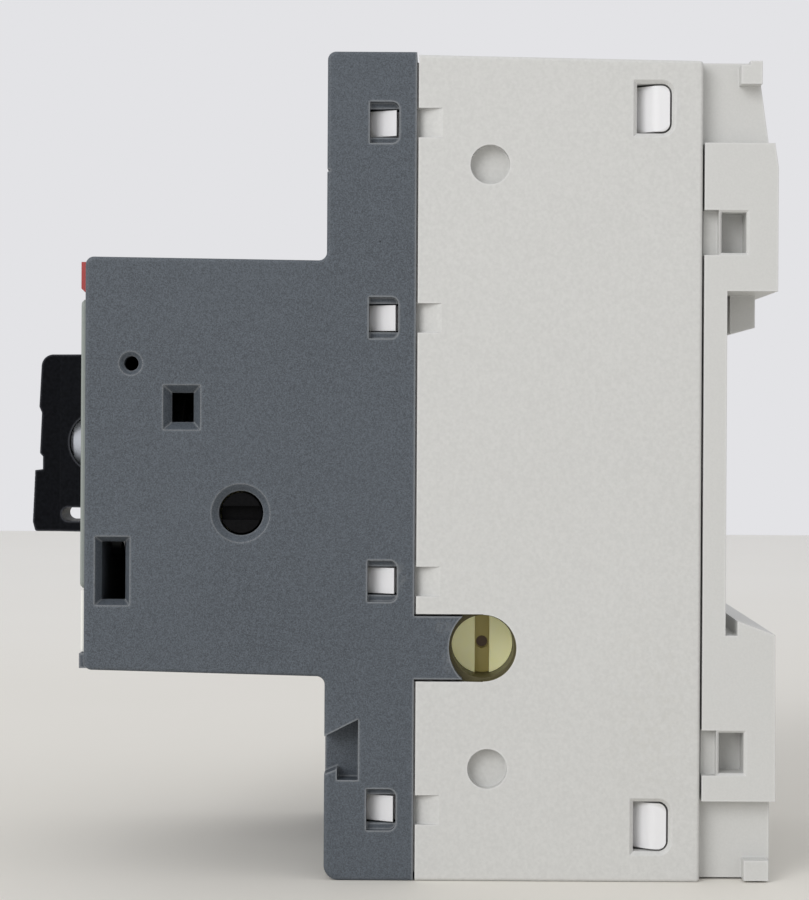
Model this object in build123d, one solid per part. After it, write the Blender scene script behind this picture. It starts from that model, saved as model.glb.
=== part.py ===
from build123d import *
import os

# Three-pole manual motor starter with a rotary knob, for a 35 mm rail. Millimetres.
# X runs across the width, Y from the front (-Y) to the rail (+Y), Z upwards.
# The origin is on the rail's centre line, on the face that seats on the rail.
# The switch is on, so the knob stands upright and the contacts are closed.

# ---------------------------------------------------------------- driving dimensions

# Casing
width = 45.0
height = 90.0
housing_standoff = 2.9          # rail seat to the housing's back
housing_depth = 31.1
cover_depth = 9.7
front_block_depth = 26.2
front_block_height = 44.6
block_draft = 0.6               # the front block's underside falls by this towards its root
block_top_fall = 0.3            # and its upper side falls by this
housing_draft = 0.5             # the housing's top falls by this towards the back
cover_wall = 1.8
housing_wall = 2.0
barrier_wall = 1.2
front_corner = 0.9
foot_corner = 1.6
edge_round = 0.4

# Latches between cover and housing
end_latch_inset = 7.7            # outermost latches from the casing's ends
inner_latch_heights = [16.1, -12.5]
latch_window_height = 4.5
latch_window_length = 3.2
latch_window_inset = 1.9        # window to seam
latch_nose_height = 2.8
latch_side_gap = 0.15          # above and below a nose
latch_rim_depth = 0.9           # of the ledges above and below it
latch_nose_length = 2.5
latch_arm_thickness = 1.2
latch_clearance = 0.3
latch_pocket_wall = 0.8
seam_groove_width = 0.2
seam_groove_depth = 0.8
seam_recess_length = 2.8
seam_recess_height = 3.2
seam_recess_depth = 1.2

# Poles and terminals
pole_margin = 1.5               # casing's side to the outer pole's edge
terminal_inset = 11.0           # terminal screws from the casing's ends
thread_diameter = 3.5
screw_head_diameter = 6.6
screw_head_height = 2.2
screw_head_sink = 1.3
screw_slot_width = 0.9
screw_slot_depth = 1.2
well_clearance = 0.3
clamp_travel = 3.0
wire_space = 4.8                # room for the wire with the clamp open
cage_width = 9.6
cage_length = 7.6
cage_wall = 1.0
cage_thread_wall = 1.8
bar_thickness = 1.2
bar_width = 7.2
bar_depth = 3.0                 # behind the seam
wire_entry_width = 8.4
wire_entry_height = 7.8
running_clearance = 0.05
loose_clearance = 0.3

# Knob, shaft and switch mechanism
knob_height = 2.4               # knob axis above the middle
knob_length = 21.2
knob_top_cut = 0.6              # the pointer end is this much shorter than the thumb end
knob_width = 8.4
knob_grip_width = 6.4
knob_depth = 6.8
knob_pad_depth = 7.7
knob_gap = 0.4
knob_wall = 1.5
collar_radius = 3.2
shaft_key_radius = 2.3
shaft_key_flat = 1.7
shaft_key_length = 5.4          # into the knob
crank_disc_radius = 5.2
crank_disc_thickness = 1.8
crank_radius = 3.4
crank_pin_radius = 1.0
crank_pin_length = 2.2
front_bearing_radius = 5.0
front_bearing_length = 7.0
frame_thickness = 1.2
frame_lip = 1.9                 # frame in front of the trip bar
carrier_travel = 4.0
carrier_drop = 5.6              # carrier's axis below the frame's top
frame_foot = -12.0
crossbar_depth = 5.6
crossbar_half_height = 4.0
stem_radius = 2.2
stem_reach = 10.0               # in front of the seam
stem_flange_radius = 3.2
stem_flange_thickness = 1.2
toggle_pivot_depth = 12.0       # in front of the seam
toggle_pivot_height = 6.0
pin_radius = 1.2
toggle_hub_radius = 2.6
toggle_width = 4.0
latch_lever_place = 2.4         # to the right of the middle
latch_lever_width = 2.0
latch_hub_radius = 2.0
latch_tail_length = 6.5
opening_spring_radius = 2.85

# Side couplings
coupler_depth = 7.5             # coupler axis behind the seam
coupler_drop = 5.5              # coupler axis below the coils
coupler_radius = 3.38
coupler_recess = 6.5
coupler_hole_radius = 3.62
tongue_half_height = 3.42
tongue_gap = 0.25
tongue_end_radius = 4.7
tongue_end_gap = 0.1            # from the tongue's end to the coupler's hole
trip_axis_depth = 18.9          # trip bar axis in front of the seam
trip_axis_height = -5.2
trip_bar_radius = 2.2
trip_hole_radius = 2.43
trip_hole_mouth = 3.2

# Front plates and controls
plate_thickness = 0.7
plate_inset = 2.0               # plates from the casing's sides
plate_gap = 0.8                 # between badge and front plate
badge_inset = 0.2               # badge from the block's top
badge_height = 3.3
badge_thickness = 0.7
marker_inset = 1.8              # marker plate from the block's foot
marker_height = 6.8
marker_thickness = 0.6
lip_thickness = 0.6
control_rise = 5.0              # dial and test button above the front plate's lower edge
dial_radius = 3.6
dial_stem_radius = 2.0
dial_cam_radius = 3.2
dial_cam_throw = 0.8
test_radius = 1.4
test_stem_radius = 0.9
test_travel = 1.5
control_shelf_depth = 8.3       # behind the cover's front wall
control_shelf_thickness = 1.2

# Current path and releases
contact_half_span = 7.0         # contact tips above and below the carrier
contact_depth = 17.0            # fixed contact faces behind the seam
contact_thickness = 1.0
tip_thickness = 0.5
tip_radius = 1.5
contact_width = 5.2
contact_spring_radius = 1.7
coil_depth = 6.0                # coil axis behind the seam
coil_height = 11.0
coil_foot_gap = 2.3             # compensator lever to the coil's foot
coil_radius = 4.6
plunger_radius = 1.8
plunger_travel = 2.0
plunger_rod_radius = 0.9
plunger_spring_room = 5.0
yoke_thickness = 1.0
bimetal_thickness = 0.9
bimetal_width = 5.0
heater_rise = 5.0               # above the bimetal's foot
bimetal_inset = 4.4             # bimetal's foot above the casing's foot
bimetal_tip = -11.0
bimetal_depth = 17.0            # behind the seam
lever_thickness = 1.2
lever_rise = 2.0                # above the front block's floor
lever_height = 2.0
lever_hub_radius = 2.0
overload_travel = 1.5
slider_bottom = -10.2
slider_thickness = 1.8

# Rail base
rail_height = 35.0
rail_thickness = 1.0
seat_relief = 0.2
base_gap = 0.2                  # between the housing's back and the base
foot_depth = 5.3
upper_groove_room = 1.7         # above the rail, for the bow spring
lower_groove_room = 0.7
upper_hook_grip = 2.6           # how far each hook reaches over the rail
lower_hook_grip = 0.9
upper_hook_half_width = 12.5
upper_foot_top = 35.3
lower_foot_bottom = -36.2
foot_notch_low = [23.1, -33.4]   # lower ends of the notches in the feet's sides
foot_notch_height = 4.9
foot_notch_depth = 3.5
foot_notch_back = 2.1
arm_end_gap = 0.8               # top arm below the casing's top
arm_foot_gap = 0.2
snap_inset = 6.0                # snap windows from the casing's ends
snap_window_height = 5.4
snap_window_length = 3.8
snap_window_inset = 3.4         # window to the housing's back
snap_arm_thickness = 1.5
snap_window_bevel = 0.4
snap_nose_gap = 0.2
spring_bow = 1.2
spring_strip = 0.3

# ---------------------------------------------------------------- derived places

half_width = width / 2
half_height = height / 2
housing_back = -housing_standoff
seam = housing_back - housing_depth
cover_face = seam - cover_depth
block_face = cover_face - front_block_depth
block_half = front_block_height / 2
root_half = block_half + block_draft
pole_pitch = (width - 2 * pole_margin) / 3
pole_places = [-pole_pitch, 0.0, pole_pitch]
terminal_height = half_height - terminal_inset
end_latch = half_height - end_latch_inset
latch_heights = [end_latch, *inner_latch_heights, -end_latch]
snap_height = half_height - snap_inset
cover_inside = half_width - cover_wall
housing_inside = half_width - housing_wall
front_inside = block_face + cover_wall
tall_inside = cover_face + cover_wall
block_inside = block_half - cover_wall
bar_face = seam + bar_depth
bar_back = bar_face + bar_thickness
head_front = cover_face + screw_head_sink
head_back = head_front + screw_head_height
contact_face = seam + contact_depth
plate_face = block_face - plate_thickness
plate_half_width = half_width - plate_inset
badge_top = block_half - badge_inset
badge_bottom = badge_top - badge_height
plate_top = badge_bottom - plate_gap
marker_bottom = -block_half + marker_inset
plate_bottom = marker_bottom + marker_height + 0.1
control_height = plate_bottom + control_rise
knob_back = plate_face - knob_gap
key_tip = knob_back - shaft_key_length
coil_axis = seam + coil_depth
coupler_axis = seam + coupler_depth
trip_axis = seam - trip_axis_depth
toggle_pivot = seam - toggle_pivot_depth
frame_front = trip_axis - trip_bar_radius - frame_lip
frame_top = block_inside - 0.4
carrier_height = frame_top - carrier_drop
inner_barrier = pole_pitch / 2 - barrier_wall / 2
frame_outer = inner_barrier + frame_thickness
control_offset = frame_outer + dial_cam_throw + dial_cam_radius + 0.4
slab_front = housing_back + base_gap
upper_ceiling = rail_height / 2 + upper_groove_room
upper_hook_tip = rail_height / 2 - upper_hook_grip
seat_half_height = upper_hook_tip - 0.2
lower_floor = -rail_height / 2 - lower_groove_room
lower_hook_tip = -rail_height / 2 + lower_hook_grip
arm_top = half_height - arm_end_gap
arm_bottom = -half_height + arm_foot_gap
latch_arm_inner = cover_inside - latch_clearance - latch_arm_thickness
snap_outer = housing_inside - 0.1
arm_half_width = snap_outer
snap_inner = snap_outer - snap_arm_thickness
crossbar_front = seam + carrier_travel
crossbar_back = crossbar_front + crossbar_depth
carrier_low = carrier_height - crossbar_half_height
carrier_high = carrier_height + crossbar_half_height
stem_flange_face = seam - stem_reach
stem_flange_back = stem_flange_face + stem_flange_thickness
latch_pivot = toggle_pivot + 2.0
latch_pivot_height = toggle_pivot_height - 7.2
lever_low = -block_inside + lever_rise
lever_high = lever_low + lever_height
coil_bottom = lever_high + coil_foot_gap
coil_top = coil_bottom + coil_height
coupler_height = coil_bottom - coupler_drop
plunger_shoulder = coil_top - plunger_spring_room
plunger_top = coil_top + yoke_thickness + 0.7
bimetal_front = seam + bimetal_depth
bimetal_foot = -half_height + bimetal_inset
slider_back = bimetal_front + bimetal_width - 0.5
lever_half = lever_thickness / 2
lever_x = -housing_inside + 0.8 + overload_travel + lever_half
lever_pivot = cover_face - 2.3
shelf_front = front_inside + control_shelf_depth
shelf_back = shelf_front + control_shelf_thickness
test_tab = trip_axis - 1.3
test_tip = test_tab - test_travel + 0.15

os.makedirs("parts", exist_ok=True)


# ---------------------------------------------------------------- shapes

def block(x, y, z):
    """A box from its low and high end along each axis."""
    sizes = [high - low for low, high in (x, y, z)]
    middle = [(low + high) / 2 for low, high in (x, y, z)]
    return Pos(*middle) * Box(*sizes)


def rod_x(radius, x, y, z):
    return Pos((x[0] + x[1]) / 2, y, z) * Rot(0, 90, 0) * Cylinder(radius, x[1] - x[0])


def rod_y(radius, x, y, z):
    return Pos(x, (y[0] + y[1]) / 2, z) * Rot(90, 0, 0) * Cylinder(radius, y[1] - y[0])


def rod_z(radius, x, y, z):
    return Pos(x, y, (z[0] + z[1]) / 2) * Cylinder(radius, z[1] - z[0])


def rounded(face, corners):
    """Rounds the corners of a flat face, each given as its place and radius."""
    for across, up, radius in corners:
        corner = face.vertices().sort_by_distance((across, up, 0))[0]
        face = fillet(corner, radius)
    return face


def side_face(points, corners=()):
    return rounded(make_face(Polyline(*points, close=True)), corners)


def side_shape(points, x, corners=()):
    """A solid from its side outline, points (y, z), between two places across the width."""
    return extrude(Plane.YZ.offset(x[0]) * side_face(points, corners), amount=x[1] - x[0])


def rim_bevel(points, bevel, corners=()):
    """The bevel around an opening in the right-hand side, widest at the surface."""
    face = Plane.YZ.offset(half_width - bevel) * side_face(points, corners)
    return extrude(face, amount=bevel, taper=-45)


def top_shape(points, z, corners=()):
    """A solid from its plan outline, points (x, y), between two heights."""
    face = rounded(make_face(Polyline(*points, close=True)), corners)
    return extrude(Plane.XY.offset(z[0]) * face, amount=z[1] - z[0])


def both_sides(solid):
    return [solid, mirror(solid, about=Plane.YZ)]


def helical_spring(mean_radius, wire, length, turns):
    """A spring that stands on the origin along +Z."""
    path = Helix(pitch=(length - wire) / turns, height=length - wire, radius=mean_radius)
    section = Plane(path @ 0, z_dir=path % 0) * Circle(wire / 2)
    return Pos(0, 0, wire / 2) * sweep(section, path=path)


def along_y(solid):
    """Turns a solid built along +Z so that it runs along +Y."""
    return Rot(-90, 0, 0) * solid


def group(solids):
    return Compound(children=[part for solid in solids for part in solid.solids()])


def save(name, shape):
    export_step(shape, "parts/" + name + ".step")


# ---------------------------------------------------------------- front cover

def tapered_opening(y, z, shrink, depth):
    """A rectangular hole through the right-hand wall that narrows to its throat."""
    size_y = y[1] - y[0]
    size_z = z[1] - z[0]
    centre = ((y[0] + y[1]) / 2, (z[0] + z[1]) / 2)
    mouth = Plane.YZ.offset(half_width) * Pos(*centre) * Rectangle(size_y, size_z)
    throat_shape = Rectangle(size_y - 2 * shrink, size_z - 2 * shrink)
    throat = Plane.YZ.offset(half_width - depth) * Pos(*centre) * throat_shape
    hole = block((cover_inside - 1, half_width), (y[0] + shrink, y[1] - shrink),
                 (z[0] + shrink, z[1] - shrink))
    return loft([mouth.face(), throat.face()]) + hole


def latch_window(height_middle):
    """A window in both side walls: a shallow recess with rounded corners, cut through behind the latch."""
    near = seam - latch_window_inset
    far = near - latch_window_length
    low = height_middle - latch_window_height / 2
    high = height_middle + latch_window_height / 2
    outline = [(far, low), (near, low), (near, high), (far, high)]
    corners = [(near, low, 0.8), (near, high, 0.8)]
    recess = side_shape(outline, (half_width - latch_rim_depth, half_width + 1), corners)
    throat = latch_nose_height / 2 + latch_side_gap
    return recess + block((cover_inside - 0.2, half_width), (far, near),
                          (height_middle - throat, height_middle + throat))


def latch_pocket(height_middle):
    """A pocket on the inside of the right-hand wall that closes off a window around its latch."""
    far = seam - latch_window_inset - latch_window_length
    low = height_middle - latch_window_height / 2
    high = height_middle + latch_window_height / 2
    floor = latch_arm_inner - latch_clearance
    wall = latch_pocket_wall
    box = block((floor - wall, cover_inside + 0.1), (far - wall, seam - latch_clearance),
                (low - wall, high + wall))
    return box - block((floor, cover_inside + 1), (far, seam), (low, high))


def make_front_cover():
    outline = [
        (seam, half_height), (cover_face, half_height), (cover_face, block_half),
        (block_face, block_half + block_top_fall), (block_face, -block_half), (cover_face, -root_half),
        (cover_face, -half_height), (seam, -half_height)]
    corners = [
        (cover_face, half_height, front_corner), (cover_face, block_half, front_corner),
        (block_face, block_half + block_top_fall, front_corner), (block_face, -block_half, front_corner),
        (cover_face, -root_half, front_corner), (cover_face, -half_height, foot_corner)]
    shell = side_shape(outline, (-half_width, half_width), corners)
    front_edges = [edge for edge in shell.edges()
                   if edge.center().Y < seam - 1 and abs(abs(edge.center().X) - half_width) < 0.01]
    shell = fillet(front_edges, edge_round)
    hollow = block((-cover_inside, cover_inside), (tall_inside, seam + 1),
                   (-half_height + cover_wall, half_height - cover_wall))
    hollow += block((-cover_inside, cover_inside), (front_inside, tall_inside + 1),
                    (-block_inside, block_inside))
    shell -= hollow

    # barrier ribs between the terminals, and the parting groove across the upper face
    for x in (-pole_pitch / 2, pole_pitch / 2):
        for z in ((root_half + 1, half_height - 1), (-half_height + 1, -root_half - 1)):
            shell += block((x - barrier_wall / 2, x + barrier_wall / 2), (tall_inside - 1, seam), z)
    groove_height = 32.1
    groove = [(cover_face - 1, groove_height - 0.7), (cover_face - 1, groove_height + 0.7),
              (cover_face + 0.4, groove_height)]
    shell -= side_shape(groove, (-half_width - 1, half_width + 1))

    # lip under the marker plate
    lip_low = -block_half + 0.1
    shell += block((-half_width + 1, half_width - 1), (block_face - lip_thickness, block_face + 1),
                   (lip_low, marker_bottom - 0.1))

    # wells for the terminal screws, latch windows, shaft bearing
    for x in pole_places:
        for z in (-terminal_height, terminal_height):
            well = screw_head_diameter / 2 + well_clearance
            shell -= rod_y(well, x, (cover_face - 1, tall_inside + 1), z)
    for z in inner_latch_heights:
        for pocket in both_sides(latch_pocket(z)):
            shell += pocket
    for z in latch_heights:
        for window in both_sides(latch_window(z)):
            shell -= window
    shell += rod_y(front_bearing_radius, 0, (front_inside - 0.5, front_inside + front_bearing_length),
                   knob_height)
    shell -= rod_y(collar_radius + running_clearance, 0, (block_face - 2, front_inside + 10), knob_height)

    # shelves inside that carry the dial's stem and the test plunger's stem
    shelf = (shelf_front, shelf_back)
    for side, stem, mouth in ((-1, dial_stem_radius, dial_radius), (1, test_stem_radius, test_radius)):
        x = side * control_offset
        reach = sorted((side * (control_offset - 3), side * (cover_inside + 0.5)))
        shell += block(reach, shelf, (control_height - 3, control_height + 3))
        shell -= rod_y(stem + running_clearance, x, (shelf[0] - 1, shelf[1] + 1), control_height)
        shell -= rod_y(mouth + running_clearance, x, (block_face - 2, front_inside + 1), control_height)

    # foot bearing for the compensator lever, on the floor of the front block
    shell += rod_z(2.2, lever_x, lever_pivot, (-block_inside - 0.5, -block_inside + 1.5))
    shell -= rod_z(1.0 + running_clearance, lever_x, lever_pivot, (-block_inside, -block_inside + 2))

    # right-hand side: pin hole, two tapered openings, trip bar bearing
    shell -= rod_x(0.8, (cover_inside - 1, half_width + 1), -64.9, 11.0)
    shell -= Pos(half_width - 0.25, -64.9, 11.0) * Rot(0, 90, 0) * Cone(0.8, 1.3, 0.5)
    shell -= tapered_opening((-61.4, -57.3), (3.8, 8.7), 0.85, 1.2)
    shell -= tapered_opening((-68.7, -64.9), (-15.3, -7.8), 0.6, 1.2)
    shell -= rod_x(trip_hole_radius, (cover_inside - 1, half_width + 1), trip_axis, trip_axis_height)
    mouth_depth = 0.7
    mouth = Cone(trip_hole_radius, trip_hole_mouth, mouth_depth)
    shell -= Pos(half_width - mouth_depth / 2, trip_axis, trip_axis_height) * Rot(0, 90, 0) * mouth

    # hook notch in the lower right-hand edge, on a thicker patch of wall
    patch_inside = pole_pitch + cage_width / 2 + loose_clearance
    notch_low = -half_height + 10.9
    notch_high = notch_low + 6.6
    shell += block((patch_inside, cover_inside + 0.5), (tall_inside - 0.5, cover_face + 5.1),
                   (notch_low - 1.3, notch_high + 1.3))
    notch = [(cover_face - 1, notch_high - 2.4), (cover_face + 3.7, notch_high),
             (cover_face + 3.7, notch_low), (cover_face + 1.4, notch_low),
             (cover_face + 1.4, notch_low + 1.2), (cover_face - 1, notch_low + 0.2)]
    shell -= side_shape(notch, (patch_inside + 0.6, half_width + 1))

    # tongue that closes the coupler's notch in the housing
    tongue = block((cover_inside, half_width), (seam - 1, coupler_axis),
                   (coupler_height - tongue_half_height, coupler_height + tongue_half_height))
    tongue_end = coupler_axis - coupler_hole_radius - tongue_end_gap
    tongue -= rod_x(tongue_end_radius, (cover_inside - 1, half_width + 1),
                    tongue_end + tongue_end_radius, coupler_height)
    return shell + tongue


# ---------------------------------------------------------------- main housing

def housing_latch(height_middle):
    """An arm on the housing's side wall whose nose snaps into a window of the cover."""
    arm_outer = latch_arm_inner + latch_arm_thickness
    nose_back = seam - latch_window_inset - latch_clearance
    nose_front = nose_back - latch_nose_length
    tall = latch_nose_height / 2
    plan = [(latch_arm_inner, seam + 4), (housing_inside + 0.3, seam + 4), (housing_inside + 0.3, seam),
            (arm_outer, seam), (arm_outer, nose_back), (half_width - 0.6, nose_back),
            (arm_outer + 0.2, nose_front), (arm_outer - 0.3, nose_front - 0.9),
            (latch_arm_inner, nose_front - 0.9)]
    return top_shape(plan, (height_middle - tall, height_middle + tall))


def snap_window(side_z):
    """A D-shaped window near the back for a snap arm of the rail base."""
    near = housing_back - snap_window_inset
    far = near - snap_window_length
    low = side_z - snap_window_height / 2
    high = side_z + snap_window_height / 2
    outline = [(far, low), (near, low), (near, high), (far, high)]
    corners = [(near, low, 1.1), (near, high, 1.1)]
    window = side_shape(outline, (-half_width, half_width), corners)
    for rim in both_sides(rim_bevel(outline, snap_window_bevel, corners)):
        window += rim
    return window


def make_main_housing():
    top = half_height - 0.3
    outline = [(seam, top), (seam, -half_height), (housing_back, -half_height),
               (housing_back, top - housing_draft)]
    body = side_shape(outline, (-half_width, half_width))
    back_edges = [edge for edge in body.edges() if edge.center().Y > seam + 1]
    body = fillet(back_edges, edge_round)
    body -= block((-housing_inside, housing_inside), (seam - 1, housing_back - housing_wall),
                  (-half_height + housing_wall, top - housing_draft - housing_wall))

    # barriers between the poles, with slots for the carrier and the trip slider
    for x in (-pole_pitch / 2, pole_pitch / 2):
        wall = (x - barrier_wall / 2, x + barrier_wall / 2)
        barrier = block(wall, (seam, housing_back - 1), (-half_height + 1, top - housing_draft - 1))
        slot = (carrier_low - loose_clearance, carrier_high + loose_clearance)
        barrier -= block((x - 1, x + 1), (seam - 1, crossbar_back + loose_clearance), slot)
        slider_slot = (slider_bottom - loose_clearance, slider_bottom + slider_thickness + loose_clearance)
        barrier -= block((x - 1, x + 1), (seam - 1, slider_back + loose_clearance), slider_slot)
        body += barrier

    # wire entries through the top and the bottom wall
    entry = (seam + 1.6, seam + 1.6 + wire_entry_height)
    for x in pole_places:
        reach = (x - wire_entry_width / 2, x + wire_entry_width / 2)
        body -= block(reach, entry, (half_height - 5, half_height + 1))
        body -= block(reach, entry, (-half_height - 1, -half_height + 5))

    # latch arms, and the sloped recess beside each of them
    for z in latch_heights:
        for arm in both_sides(housing_latch(z)):
            body += arm
        low = z - seam_recess_height / 2
        wedge = [(half_width + 1, seam - 1), (half_width - seam_recess_depth, seam - 1),
                 (half_width - seam_recess_depth, seam), (half_width, seam + seam_recess_length),
                 (half_width + 1, seam + seam_recess_length)]
        for cut in both_sides(top_shape(wedge, (low, low + seam_recess_height))):
            body -= cut

    # shadow groove around the seam
    groove = block((-half_width - 1, half_width + 1), (seam - 1, seam + seam_groove_width),
                   (-half_height - 1, half_height + 1))
    body -= groove - block((-half_width + seam_groove_depth, half_width - seam_groove_depth),
                           (seam - 2, seam + 1),
                           (-half_height + seam_groove_depth, top - seam_groove_depth))

    # blind dimples on the sides, snap windows, and slots in the back for the snap arms
    for side in (-1, 1):
        for z in (-32.8, 32.8):
            reach = sorted((side * (half_width + 1), side * (half_width - 1.5)))
            body -= rod_x(2.15, reach, seam + 8.0, z)
    for z in (-snap_height, snap_height):
        body -= snap_window(z)
        slot = (z - snap_window_height / 2, z + snap_window_height / 2)
        for cut in both_sides(block((snap_inner - loose_clearance, housing_inside),
                                    (housing_back - housing_wall - 1, housing_back + 1), slot)):
            body -= cut

    # bearing tube of the side coupler, and the notch that the cover's tongue closes
    tube_end = half_width - coupler_recess - 4.5
    body += rod_x(coupler_radius + 0.8, (tube_end, housing_inside + 0.2), coupler_axis, coupler_height)
    body -= rod_x(coupler_radius + running_clearance, (tube_end - 1, half_width + 1),
                  coupler_axis, coupler_height)
    body -= rod_x(coupler_hole_radius, (housing_inside, half_width + 1), coupler_axis, coupler_height)
    notch_half = tongue_half_height + tongue_gap
    body -= block((cover_inside - 0.1, half_width + 1), (seam - 1, coupler_axis),
                  (coupler_height - notch_half, coupler_height + notch_half))
    return body


# ---------------------------------------------------------------- rail base

def foot_notch(low):
    """A notch in the right-hand side of a foot: a shallow strip, a thin rib, and a deep bevelled pocket."""
    high = low + foot_notch_height
    bevel = 0.25
    rib_front = -1.15
    rib_back = rib_front + 0.3
    strip = block((half_width - 1.5, half_width + 1), (housing_back - 1, rib_front), (low, high))
    pocket_y = (rib_back, foot_notch_back - bevel)
    pocket_z = (low + bevel, high - bevel)
    outline = [(y, z) for y, z in zip((*pocket_y, *reversed(pocket_y)), sorted(pocket_z * 2))]
    pocket = block((half_width - foot_notch_depth, half_width), pocket_y, pocket_z)
    return strip + pocket + rim_bevel(outline, bevel)


def make_rail_base():
    slab = block((-half_width, half_width), (slab_front, -seat_relief), (lower_foot_bottom, upper_foot_top))
    slab += block((-half_width + 2, half_width - 2), (-1, 0), (-seat_half_height, seat_half_height))
    upper = [(slab_front, upper_foot_top), (foot_depth - 0.4, upper_foot_top),
             (foot_depth, upper_foot_top - 2.6), (foot_depth, upper_ceiling), (slab_front, upper_ceiling)]
    slab += side_shape(upper, (-half_width, half_width))
    hook_start = rail_thickness + 0.3
    hook = [(hook_start, upper_ceiling + 0.5), (hook_start, upper_hook_tip),
            (hook_start + 2.8, upper_hook_tip + 0.7), (hook_start + 2.8, upper_ceiling + 0.5)]
    slab += side_shape(hook, (-upper_hook_half_width, upper_hook_half_width))
    lower = [(slab_front, lower_floor), (rail_thickness + 0.1, lower_floor),
             (rail_thickness + 0.1, lower_hook_tip), (foot_depth - 0.1, lower_floor + 0.1),
             (foot_depth, lower_foot_bottom), (slab_front, lower_foot_bottom)]
    slab += side_shape(lower, (-half_width, half_width))

    # the feet are hollow behind their skins, with a rib left at each end
    skin = 1.5
    hollow_y = (slab_front - 1, foot_depth - skin)
    for x in ((-half_width + 4.5, -1.0), (1.0, half_width - 4.5)):
        slab -= block(x, (slab_front - 1, foot_depth - skin - 0.5),
                      (upper_ceiling + skin, upper_foot_top - skin))
        slab -= block(x, hollow_y, (lower_foot_bottom + skin, lower_floor - skin - 1))
    for low in foot_notch_low:
        for notch in both_sides(foot_notch(low)):
            slab -= notch

    # end arms with lugs
    upper_arm = [(slab_front, upper_foot_top - 1), (slab_front, upper_foot_top),
                 (housing_back, upper_foot_top), (housing_back, arm_top), (3.5, arm_top),
                 (3.6, arm_top - 2.5), (4.5, upper_foot_top), (4.5, upper_foot_top - 1)]
    lower_arm = [(slab_front, lower_foot_bottom + 1), (slab_front, lower_foot_bottom),
                 (housing_back, lower_foot_bottom), (housing_back, arm_bottom), (4.9, arm_bottom),
                 (4.9, lower_foot_bottom + 1)]
    arms = side_shape(upper_arm, (-arm_half_width, arm_half_width))
    arms += side_shape(lower_arm, (-arm_half_width, arm_half_width))
    arms -= block((-arm_half_width + 2, arm_half_width - 2), (slab_front - 1, 1.6),
                  (upper_foot_top + skin, arm_top - skin))
    arms -= block((-arm_half_width + 2, arm_half_width - 2), (slab_front - 1, 3.4),
                  (arm_bottom + skin, lower_foot_bottom - skin))
    slab += arms
    upper_lug = [(1.2, arm_top - 2.5), (1.2, arm_top - 0.4), (2.2, arm_top - 0.4), (2.2, arm_top),
                 (3.5, arm_top), (3.5, arm_top - 2.5)]
    lower_lug = [(1.9, arm_bottom), (1.9, arm_bottom + 2.2), (4.6, arm_bottom + 2.2), (4.6, arm_bottom)]
    for lug in (upper_lug, lower_lug):
        for solid in both_sides(side_shape(lug, (arm_half_width - 1, half_width))):
            slab += solid

    # spacers that meet the housing's back
    for x in (-upper_hook_half_width, upper_hook_half_width):
        for z in (lower_floor - 0.5, upper_ceiling + 0.5):
            slab += rod_y(1.0, x, (housing_back, slab_front + 0.5), z)

    # snap arms through the housing's back, with a rounded nose in each window
    nose_back = housing_back - snap_window_inset - snap_nose_gap
    nose_front = nose_back - snap_window_length + snap_nose_gap + 0.1
    crest = (half_width - 0.4, nose_front + 1.9)
    plan = [(snap_inner, nose_front), (snap_outer, nose_front), crest, (half_width - 0.3, nose_back),
            (snap_inner, nose_back)]
    tall = snap_window_height / 2 - snap_nose_gap
    for z in (-snap_height, snap_height):
        reach = (z - tall, z + tall)
        outline = [(nose_front, reach[0]), (nose_back, reach[0]),
                   (nose_back, reach[1]), (nose_front, reach[1])]
        corners = [(nose_back, reach[0], 0.9), (nose_back, reach[1], 0.9)]
        nose = top_shape(plan, reach, [(*crest, 1.5)])
        nose &= side_shape(outline, (0, half_width), corners)
        arm = block((snap_inner, snap_outer), (nose_front - 1.2, slab_front + 1), reach)
        for solid in both_sides(arm + nose):
            slab += solid
    return slab


def make_rail_spring():
    """A bow of spring strip: its ends bear on the groove's ceiling, its middle on the rail."""
    ends = upper_ceiling - 0.1
    half_span = upper_hook_half_width - 1.5
    strip = spring_strip
    lower_arc = ThreePointArc((-half_span, ends - strip), (0, ends - strip - spring_bow),
                              (half_span, ends - strip))
    upper_arc = ThreePointArc((half_span, ends), (0, ends - spring_bow), (-half_span, ends))
    sides = Line((half_span, ends - strip), (half_span, ends)) + Line((-half_span, ends),
                                                                     (-half_span, ends - strip))
    face = make_face(lower_arc + upper_arc + sides)
    return extrude(Plane.XZ.offset(-1.1) * face, amount=1.0)


# ---------------------------------------------------------------- knob, shaft, front plates

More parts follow.
